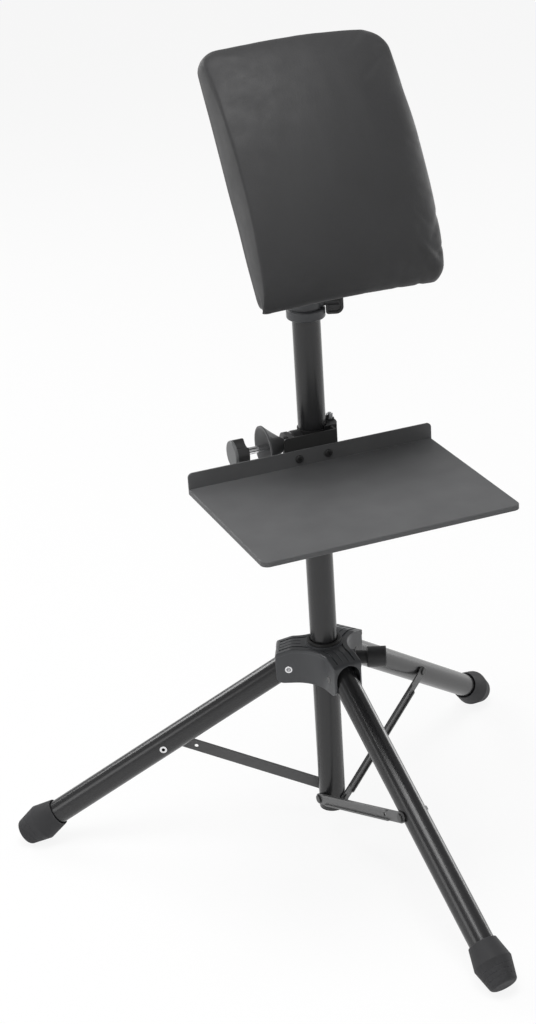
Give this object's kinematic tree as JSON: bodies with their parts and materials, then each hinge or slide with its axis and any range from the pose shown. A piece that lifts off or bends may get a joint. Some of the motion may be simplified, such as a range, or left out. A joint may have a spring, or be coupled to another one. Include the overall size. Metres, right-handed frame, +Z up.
{
  "type": "tattoo arm rest stand",
  "caption": "Folding tripod arm rest stand with a height-adjustable tilting upholstered pad and a clamped work tray on its column.",
  "frame": {"origin": "middle of the whole stand's footprint box, on the floor", "axes": "+Z up along the column; the tray's front and the pad face towards -Y; +X to the right seen from the front"},
  "size_m": [0.6406, 0.585, 0.9225],
  "materials": {
    "black_tube": "satin black powder coat",
    "brace_steel": "semi-gloss black paint",
    "tray_steel": "matte dark grey powder coat",
    "bracket_steel": "matte black powder coat",
    "hub_plastic": "satin moulded plastic, dark grey",
    "knob_plastic": "moulded plastic, near black",
    "clamp_plastic": "moulded plastic, dark grey",
    "nylon": "plain black nylon",
    "cap_rubber": "matte rubber, dark grey",
    "brass": "machined",
    "zinc_steel": "bright zinc plate",
    "chrome": "bright nickel or chrome plate",
    "pad_leather": "smooth black leatherette, satin",
    "plywood": "raw plywood",
    "back_cloth": "black non-woven cloth"
  },
  "bodies": {
    "column": {"column_tube": "black_tube", "column_bottom_plug": "nylon", "brace_column_rivets": "chrome", "column_collar": "hub_plastic", "post_lock_insert": "brass"},
    "post_lock": {"post_lock_screw": "zinc_steel", "post_lock_wing": "knob_plastic"},
    "hub": {"hub_spider": "hub_plastic", "hub_bushing": "nylon", "hub_pivot_rivets": "chrome", "hub_lock_insert": "brass"},
    "hub_lock": {"hub_lock_screw": "zinc_steel", "hub_lock_knob": "knob_plastic"},
    "post": {"inner_post": "black_tube", "post_guide": "nylon"},
    "head": {"tilt_head": "hub_plastic", "head_set_screw": "zinc_steel"},
    "pad": {"tilt_bracket": "bracket_steel", "tilt_bolt": "zinc_steel", "tilt_washer": "zinc_steel", "pad_cushion": "pad_leather", "pad_board": "plywood", "pad_back_cover": "back_cloth", "pad_tee_nuts": "zinc_steel", "pad_screws": "zinc_steel"},
    "tilt_lock": {"tilt_insert": "brass", "tilt_knob": "knob_plastic"},
    "clamp_sleeve": {"clamp_liner": "nylon"},
    "tray": {"tray_plate": "tray_steel", "tray_clamp_plate": "bracket_steel", "tray_clamp_body": "clamp_plastic", "fixed_jaw": "clamp_plastic", "jaw_pin": "zinc_steel", "jaw_washer": "cap_rubber", "jaw_nut": "zinc_steel", "clamp_bell": "knob_plastic", "clamp_insert": "brass", "clamp_pressure_pad": "clamp_plastic", "tray_screws": "zinc_steel"},
    "tray_lock": {"clamp_bolt": "chrome", "clamp_star_knob": "knob_plastic"},
    "left_leg": {"left_leg_tube": "black_tube", "left_leg_pivot_plug": "nylon", "left_foot_cap": "cap_rubber", "left_brace_sleeve": "chrome"},
    "left_brace": {"left_brace": "brace_steel", "left_brace_rivet": "chrome"},
    "front_leg": {"front_leg_tube": "black_tube", "front_leg_pivot_plug": "nylon", "front_foot_cap": "cap_rubber", "front_brace_sleeve": "chrome"},
    "front_brace": {"front_brace": "brace_steel", "front_brace_rivet": "chrome"},
    "right_leg": {"right_leg_tube": "black_tube", "right_leg_pivot_plug": "nylon", "right_foot_cap": "cap_rubber", "right_brace_sleeve": "chrome"},
    "right_brace": {"right_brace": "brace_steel", "right_brace_rivet": "chrome"}
  },
  "joints": [
    {"name": "hub_slide", "type": "slide", "parent": "column", "child": "hub", "axis": [0, 0, 1], "range_m": [0, 0.2033]},
    {"name": "hub_lock_turn", "type": "hinge", "parent": "hub", "child": "hub_lock", "pos_m": [0.04606, 0.05919, 0.22975], "axis": [0.9056, -0.4242, 0], "range_deg": [0, 720]},
    {"name": "post_slide", "type": "slide", "parent": "column", "child": "post", "axis": [0, 0, 1], "range_m": [-0.02, 0.22]},
    {"name": "post_lock_turn", "type": "hinge", "parent": "column", "child": "post_lock", "pos_m": [0.03204, 0.0668, 0.647], "axis": [0.9259, -0.3778, 0], "range_deg": [0, 720]},
    {"name": "head_swivel", "type": "hinge", "parent": "post", "child": "head", "pos_m": [0.01482, 0.07383, 0.69], "axis": [0, 0, 1], "continuous": true},
    {"name": "pad_tilt", "type": "hinge", "parent": "head", "child": "pad", "pos_m": [0.01482, 0.07383, 0.7695], "axis": [1, 0, 0], "range_deg": [-58.4, 26.6]},
    {"name": "tilt_lock_turn", "type": "hinge", "parent": "pad", "child": "tilt_lock", "pos_m": [0.03211, 0.07383, 0.7695], "axis": [1, 0, 0], "range_deg": [0, 720]},
    {"name": "tray_slide", "type": "slide", "parent": "column", "child": "clamp_sleeve", "axis": [0, 0, 1], "range_m": [-0.19, 0.1]},
    {"name": "tray_swivel", "type": "hinge", "parent": "clamp_sleeve", "child": "tray", "pos_m": [0.01482, 0.07383, 0.4949], "axis": [0, 0, 1], "continuous": true},
    {"name": "tray_lock_turn", "type": "hinge", "parent": "tray", "child": "tray_lock", "pos_m": [-0.06259, 0.07383, 0.4949], "axis": [-1, 0, 0], "range_deg": [0, 720]},
    {"name": "left_leg_fold", "type": "hinge", "parent": "hub", "child": "left_leg", "pos_m": [-0.02141, 0.0908, 0.22526], "axis": [-0.4242, -0.9056, 0], "range_deg": [0, 56.3]},
    {"name": "left_brace_fold", "type": "hinge", "parent": "column", "child": "left_brace", "pos_m": [0.02173, 0.08859, 0.0525], "axis": [0.4242, 0.9056, 0], "range_deg": [0, 57.11]},
    {"name": "front_leg_fold", "type": "hinge", "parent": "hub", "child": "front_leg", "pos_m": [0.01823, 0.03397, 0.22526], "axis": [0.9963, 0.0854, 0], "range_deg": [0, 56.3]},
    {"name": "front_brace_fold", "type": "hinge", "parent": "column", "child": "front_brace", "pos_m": [-0.00143, 0.07244, 0.0525], "axis": [-0.9963, -0.0854, 0], "range_deg": [0, 57.11]},
    {"name": "right_leg_fold", "type": "hinge", "parent": "hub", "child": "right_leg", "pos_m": [0.04762, 0.09671, 0.22526], "axis": [-0.5721, 0.8202, 0], "range_deg": [0, 56.3]},
    {"name": "right_brace_fold", "type": "hinge", "parent": "column", "child": "right_brace", "pos_m": [0.02414, 0.06046, 0.0525], "axis": [0.5721, -0.8202, 0], "range_deg": [0, 57.11]}
  ],
  "couplings": [
    {"joint": "left_leg_fold", "follows": "hub_slide", "rad_per_m": 4.8318},
    {"joint": "left_brace_fold", "follows": "hub_slide", "rad_per_m": 4.9014},
    {"joint": "front_leg_fold", "follows": "hub_slide", "rad_per_m": 4.8318},
    {"joint": "front_brace_fold", "follows": "hub_slide", "rad_per_m": 4.9014},
    {"joint": "right_leg_fold", "follows": "hub_slide", "rad_per_m": 4.8318},
    {"joint": "right_brace_fold", "follows": "hub_slide", "rad_per_m": 4.9014}
  ]
}
